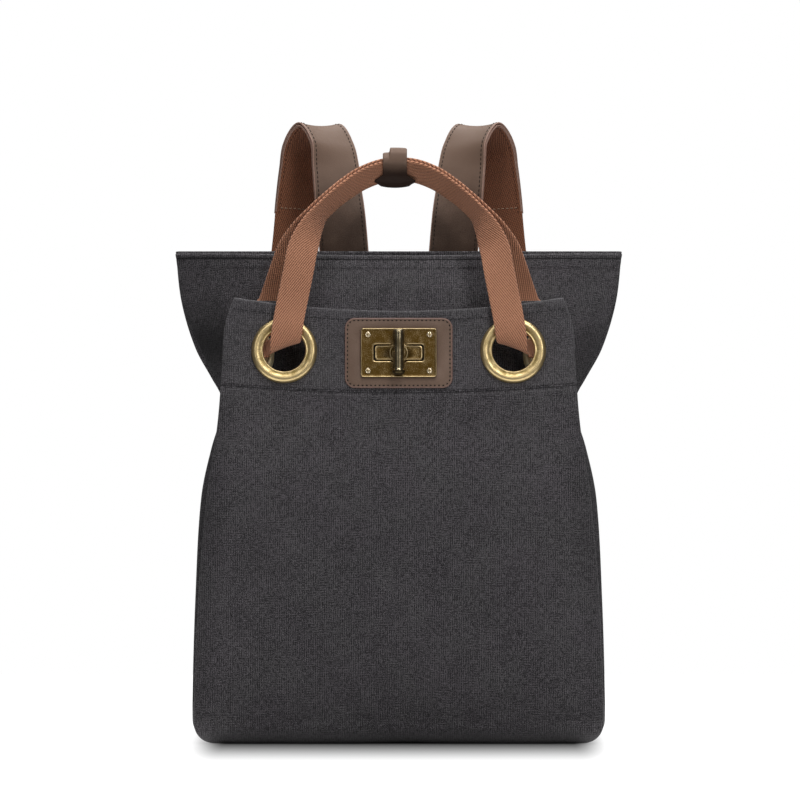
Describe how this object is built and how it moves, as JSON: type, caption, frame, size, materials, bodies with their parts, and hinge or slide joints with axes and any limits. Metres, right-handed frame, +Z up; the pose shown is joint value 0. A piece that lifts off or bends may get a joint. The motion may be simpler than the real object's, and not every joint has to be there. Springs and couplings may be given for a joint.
{
  "type": "canvas backpack",
  "caption": "Upright canvas backpack with a bellows front pocket, webbing carrying handle through brass eyelets, brass turn lock on a leather patch and leather-faced shoulder straps.",
  "frame": {"origin": "middle of the flat underside of the base panel, on the floor", "axes": "+Z up, -Y towards the front with the turn lock, +X to the viewer's right"},
  "size_m": [0.3568, 0.1839, 0.489],
  "materials": {
    "canvas": "heathered charcoal cotton canvas",
    "webbing": "red-brown twill cotton webbing",
    "leather": "matt taupe-brown leather",
    "eyelet_brass": "pale antique brass",
    "lock_brass": "dark antique brass with bright edges"
  },
  "bodies": {
    "bag": {"base_panel": "canvas", "front_panel": "canvas", "main_front_wall": "canvas", "back_panel": "canvas", "pocket_gusset_right": "canvas", "pocket_gusset_left": "canvas", "side_gusset_right": "canvas", "side_gusset_left": "canvas", "eyelet_right": "eyelet_brass", "eyelet_left": "eyelet_brass", "inner_eyelet_right": "eyelet_brass", "inner_eyelet_left": "eyelet_brass", "lock_patch": "leather", "lock_plate": "lock_brass", "lock_base": "lock_brass", "lock_rivet_upper_left": "eyelet_brass", "lock_rivet_upper_right": "eyelet_brass", "lock_rivet_lower_left": "eyelet_brass", "lock_rivet_lower_right": "eyelet_brass", "handle_webbing": "webbing", "handle_keeper": "leather", "shoulder_strap_leather_right": "leather", "shoulder_strap_leather_left": "leather", "shoulder_strap_webbing_right": "webbing", "shoulder_strap_webbing_left": "webbing"},
    "toggle": {"lock_toggle": "lock_brass"}
  },
  "joints": [
    {"name": "toggle_turn", "type": "hinge", "parent": "bag", "child": "toggle", "pos_m": [0, -0.043, 0.304], "axis": [0, -0.9962, 0.0872], "range_deg": [-90, 90]}
  ]
}
